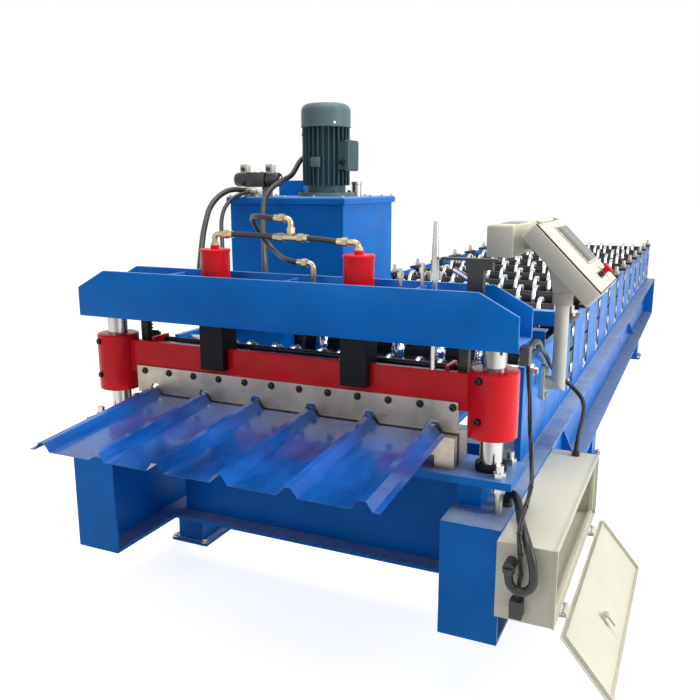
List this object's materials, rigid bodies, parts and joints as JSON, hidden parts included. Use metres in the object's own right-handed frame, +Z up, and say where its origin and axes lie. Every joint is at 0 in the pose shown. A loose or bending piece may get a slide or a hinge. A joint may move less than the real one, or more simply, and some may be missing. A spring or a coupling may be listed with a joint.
{
  "type": "roll forming machine",
  "caption": "Roll forming line for ribbed roofing sheet: driven roll stands on a long base frame, a hydraulic shear at the delivery end, a swivelling console and a switch cabinet.",
  "frame": {"origin": "floor level, in the middle of the machine's box", "axes": "+Z up, +Y along the machine from the shear to the strip entry, +X to the side of the console and the switch cabinet"},
  "size_m": [1.8614, 7.0202, 1.823],
  "materials": {
    "shear_red": "semi-gloss",
    "machine_blue": "semi-gloss",
    "dark_steel": "satin",
    "bright_steel": "satin",
    "ground_steel": "ground",
    "roll_steel": "polished",
    "motor_grey": "satin",
    "black_plastic": "matte",
    "cream_paint": "satin",
    "coated_sheet": "gloss",
    "yellow_zinc": "satin",
    "rubber_hose": "matte"
  },
  "bodies": {
    "frame": {"base_beam_left": "machine_blue", "base_beam_right": "machine_blue", "cross_beams": "machine_blue", "left_wall": "machine_blue", "right_wall": "machine_blue", "bearing_blocks": "dark_steel", "screw_caps": "bright_steel", "drive_motor": "motor_grey", "drive_chain": "dark_steel", "entry_table": "machine_blue", "bed_plate": "machine_blue", "bed_bolts": "dark_steel", "die_set": "ground_steel", "guide_posts": "bright_steel", "top_beam": "machine_blue", "cylinders": "shear_red", "limit_switch": "black_plastic", "tank_frame": "machine_blue", "hydraulic_tank": "machine_blue", "pump_motor": "motor_grey", "valve_stack": "black_plastic", "console_pole": "cream_paint", "cabinet_shell": "cream_paint", "roofing_sheet": "coated_sheet", "hose_fittings": "yellow_zinc", "cylinder_hoses": "rubber_hose", "tank_hoses": "rubber_hose", "console_cable": "rubber_hose", "cabinet_cables": "rubber_hose"},
    "shear": {"moving_beam": "shear_red", "shear_blade": "ground_steel", "rams": "dark_steel"},
    "level_shaft": {"sync_shaft": "bright_steel"},
    "drive": {"drive_sprocket": "dark_steel"},
    "console": {"console_box": "cream_paint"},
    "door": {"cabinet_door": "cream_paint"},
    "outfeed_roller": {"outfeed_roller": "roll_steel"},
    "upper_roll_01": {"upper_roll_01": "roll_steel"},
    "lower_roll_01": {"lower_roll_01": "roll_steel"},
    "upper_roll_02": {"upper_roll_02": "roll_steel"},
    "lower_roll_02": {"lower_roll_02": "roll_steel"},
    "upper_roll_03": {"upper_roll_03": "roll_steel"},
    "lower_roll_03": {"lower_roll_03": "roll_steel"},
    "upper_roll_04": {"upper_roll_04": "roll_steel"},
    "lower_roll_04": {"lower_roll_04": "roll_steel"},
    "upper_roll_05": {"upper_roll_05": "roll_steel"},
    "lower_roll_05": {"lower_roll_05": "roll_steel"},
    "upper_roll_06": {"upper_roll_06": "roll_steel"},
    "lower_roll_06": {"lower_roll_06": "roll_steel"},
    "upper_roll_07": {"upper_roll_07": "roll_steel"},
    "lower_roll_07": {"lower_roll_07": "roll_steel"},
    "upper_roll_08": {"upper_roll_08": "roll_steel"},
    "lower_roll_08": {"lower_roll_08": "roll_steel"},
    "upper_roll_09": {"upper_roll_09": "roll_steel"},
    "lower_roll_09": {"lower_roll_09": "roll_steel"},
    "upper_roll_10": {"upper_roll_10": "roll_steel"},
    "lower_roll_10": {"lower_roll_10": "roll_steel"},
    "upper_roll_11": {"upper_roll_11": "roll_steel"},
    "lower_roll_11": {"lower_roll_11": "roll_steel"}
  },
  "joints": [
    {"name": "shear_stroke", "type": "slide", "parent": "frame", "child": "shear", "axis": [0, 0, 1], "range_m": [-0.025, 0.045]},
    {"name": "level_shaft_turn", "type": "hinge", "parent": "shear", "child": "level_shaft", "pos_m": [-0.16074, -2.88012, 0.944], "axis": [1, 0, 0], "range_deg": [-60, 106]},
    {"name": "roll_drive", "type": "hinge", "parent": "frame", "child": "drive", "pos_m": [-0.86074, -2.17015, 0.684], "axis": [1, 0, 0], "continuous": true},
    {"name": "console_swivel", "type": "hinge", "parent": "frame", "child": "console", "pos_m": [0.59726, -2.28015, 1.1], "axis": [0, 0, 1], "range_deg": [-60, 60]},
    {"name": "cabinet_door_hinge", "type": "hinge", "parent": "frame", "child": "door", "pos_m": [0.77526, -2.77015, 0.318], "axis": [0, 1, 0], "range_deg": [-140, 35]},
    {"name": "outfeed_roller_turn", "type": "hinge", "parent": "frame", "child": "outfeed_roller", "pos_m": [-0.16074, -2.41015, 0.812], "axis": [1, 0, 0], "continuous": true},
    {"name": "lower_roll_01_turn", "type": "hinge", "parent": "frame", "child": "lower_roll_01", "pos_m": [-0.16074, -1.59815, 0.684], "axis": [1, 0, 0], "continuous": true},
    {"name": "upper_roll_01_turn", "type": "hinge", "parent": "frame", "child": "upper_roll_01", "pos_m": [-0.16074, -1.59815, 0.849], "axis": [1, 0, 0], "continuous": true},
    {"name": "lower_roll_02_turn", "type": "hinge", "parent": "frame", "child": "lower_roll_02", "pos_m": [-0.16074, -1.13915, 0.684], "axis": [1, 0, 0], "continuous": true},
    {"name": "upper_roll_02_turn", "type": "hinge", "parent": "frame", "child": "upper_roll_02", "pos_m": [-0.16074, -1.13915, 0.849], "axis": [1, 0, 0], "continuous": true},
    {"name": "lower_roll_03_turn", "type": "hinge", "parent": "frame", "child": "lower_roll_03", "pos_m": [-0.16074, -0.68015, 0.684], "axis": [1, 0, 0], "continuous": true},
    {"name": "upper_roll_03_turn", "type": "hinge", "parent": "frame", "child": "upper_roll_03", "pos_m": [-0.16074, -0.68015, 0.849], "axis": [1, 0, 0], "continuous": true},
    {"name": "lower_roll_04_turn", "type": "hinge", "parent": "frame", "child": "lower_roll_04", "pos_m": [-0.16074, -0.22115, 0.684], "axis": [1, 0, 0], "continuous": true},
    {"name": "upper_roll_04_turn", "type": "hinge", "parent": "frame", "child": "upper_roll_04", "pos_m": [-0.16074, -0.22115, 0.849], "axis": [1, 0, 0], "continuous": true},
    {"name": "lower_roll_05_turn", "type": "hinge", "parent": "frame", "child": "lower_roll_05", "pos_m": [-0.16074, 0.23785, 0.684], "axis": [1, 0, 0], "continuous": true},
    {"name": "upper_roll_05_turn", "type": "hinge", "parent": "frame", "child": "upper_roll_05", "pos_m": [-0.16074, 0.23785, 0.849], "axis": [1, 0, 0], "continuous": true},
    {"name": "lower_roll_06_turn", "type": "hinge", "parent": "frame", "child": "lower_roll_06", "pos_m": [-0.16074, 0.69685, 0.684], "axis": [1, 0, 0], "continuous": true},
    {"name": "upper_roll_06_turn", "type": "hinge", "parent": "frame", "child": "upper_roll_06", "pos_m": [-0.16074, 0.69685, 0.849], "axis": [1, 0, 0], "continuous": true},
    {"name": "lower_roll_07_turn", "type": "hinge", "parent": "frame", "child": "lower_roll_07", "pos_m": [-0.16074, 1.15585, 0.684], "axis": [1, 0, 0], "continuous": true},
    {"name": "upper_roll_07_turn", "type": "hinge", "parent": "frame", "child": "upper_roll_07", "pos_m": [-0.16074, 1.15585, 0.849], "axis": [1, 0, 0], "continuous": true},
    {"name": "lower_roll_08_turn", "type": "hinge", "parent": "frame", "child": "lower_roll_08", "pos_m": [-0.16074, 1.61485, 0.684], "axis": [1, 0, 0], "continuous": true},
    {"name": "upper_roll_08_turn", "type": "hinge", "parent": "frame", "child": "upper_roll_08", "pos_m": [-0.16074, 1.61485, 0.849], "axis": [1, 0, 0], "continuous": true},
    {"name": "lower_roll_09_turn", "type": "hinge", "parent": "frame", "child": "lower_roll_09", "pos_m": [-0.16074, 2.07385, 0.684], "axis": [1, 0, 0], "continuous": true},
    {"name": "upper_roll_09_turn", "type": "hinge", "parent": "frame", "child": "upper_roll_09", "pos_m": [-0.16074, 2.07385, 0.849], "axis": [1, 0, 0], "continuous": true},
    {"name": "lower_roll_10_turn", "type": "hinge", "parent": "frame", "child": "lower_roll_10", "pos_m": [-0.16074, 2.53285, 0.684], "axis": [1, 0, 0], "continuous": true},
    {"name": "upper_roll_10_turn", "type": "hinge", "parent": "frame", "child": "upper_roll_10", "pos_m": [-0.16074, 2.53285, 0.849], "axis": [1, 0, 0], "continuous": true},
    {"name": "lower_roll_11_turn", "type": "hinge", "parent": "frame", "child": "lower_roll_11", "pos_m": [-0.16074, 2.99185, 0.684], "axis": [1, 0, 0], "continuous": true},
    {"name": "upper_roll_11_turn", "type": "hinge", "parent": "frame", "child": "upper_roll_11", "pos_m": [-0.16074, 2.99185, 0.849], "axis": [1, 0, 0], "continuous": true}
  ],
  "couplings": [
    {"joint": "level_shaft_turn", "follows": "shear_stroke", "rad_per_m": 40.277},
    {"joint": "outfeed_roller_turn", "follows": "roll_drive", "ratio": -1.7391},
    {"joint": "lower_roll_01_turn", "follows": "roll_drive", "ratio": 1},
    {"joint": "upper_roll_01_turn", "follows": "roll_drive", "ratio": -1},
    {"joint": "lower_roll_02_turn", "follows": "roll_drive", "ratio": 1},
    {"joint": "upper_roll_02_turn", "follows": "roll_drive", "ratio": -1},
    {"joint": "lower_roll_03_turn", "follows": "roll_drive", "ratio": 1},
    {"joint": "upper_roll_03_turn", "follows": "roll_drive", "ratio": -1},
    {"joint": "lower_roll_04_turn", "follows": "roll_drive", "ratio": 1},
    {"joint": "upper_roll_04_turn", "follows": "roll_drive", "ratio": -1},
    {"joint": "lower_roll_05_turn", "follows": "roll_drive", "ratio": 1},
    {"joint": "upper_roll_05_turn", "follows": "roll_drive", "ratio": -1},
    {"joint": "lower_roll_06_turn", "follows": "roll_drive", "ratio": 1},
    {"joint": "upper_roll_06_turn", "follows": "roll_drive", "ratio": -1},
    {"joint": "lower_roll_07_turn", "follows": "roll_drive", "ratio": 1},
    {"joint": "upper_roll_07_turn", "follows": "roll_drive", "ratio": -1},
    {"joint": "lower_roll_08_turn", "follows": "roll_drive", "ratio": 1},
    {"joint": "upper_roll_08_turn", "follows": "roll_drive", "ratio": -1},
    {"joint": "lower_roll_09_turn", "follows": "roll_drive", "ratio": 1},
    {"joint": "upper_roll_09_turn", "follows": "roll_drive", "ratio": -1},
    {"joint": "lower_roll_10_turn", "follows": "roll_drive", "ratio": 1},
    {"joint": "upper_roll_10_turn", "follows": "roll_drive", "ratio": -1},
    {"joint": "lower_roll_11_turn", "follows": "roll_drive", "ratio": 1},
    {"joint": "upper_roll_11_turn", "follows": "roll_drive", "ratio": -1}
  ]
}
